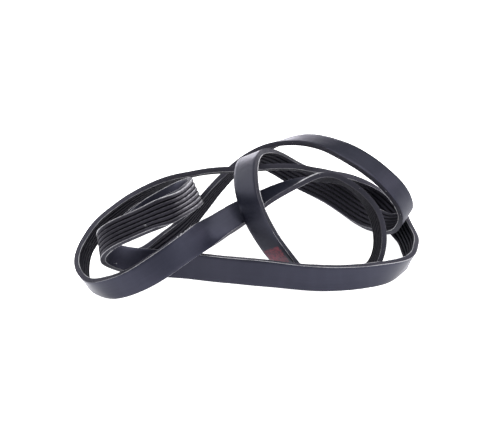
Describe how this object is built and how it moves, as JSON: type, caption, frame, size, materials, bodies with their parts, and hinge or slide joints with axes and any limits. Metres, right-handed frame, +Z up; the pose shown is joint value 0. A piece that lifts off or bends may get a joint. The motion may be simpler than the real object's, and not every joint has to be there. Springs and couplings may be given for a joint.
{
  "type": "serpentine belt",
  "caption": "Endless multi-rib rubber drive belt lying loosely folded over itself, smooth back and lengthwise ribs on the inner face.",
  "frame": {"origin": "middle of the bounding box, on the surface that the folded belt lies on", "axes": "+X along the long side of the folded belt, +Z up"},
  "size_m": [0.2704, 0.1608, 0.085],
  "materials": {
    "rubber": "smooth satin back, matt fibrous ribs"
  },
  "bodies": {
    "root": {"belt": "rubber"}
  },
  "joints": []
}
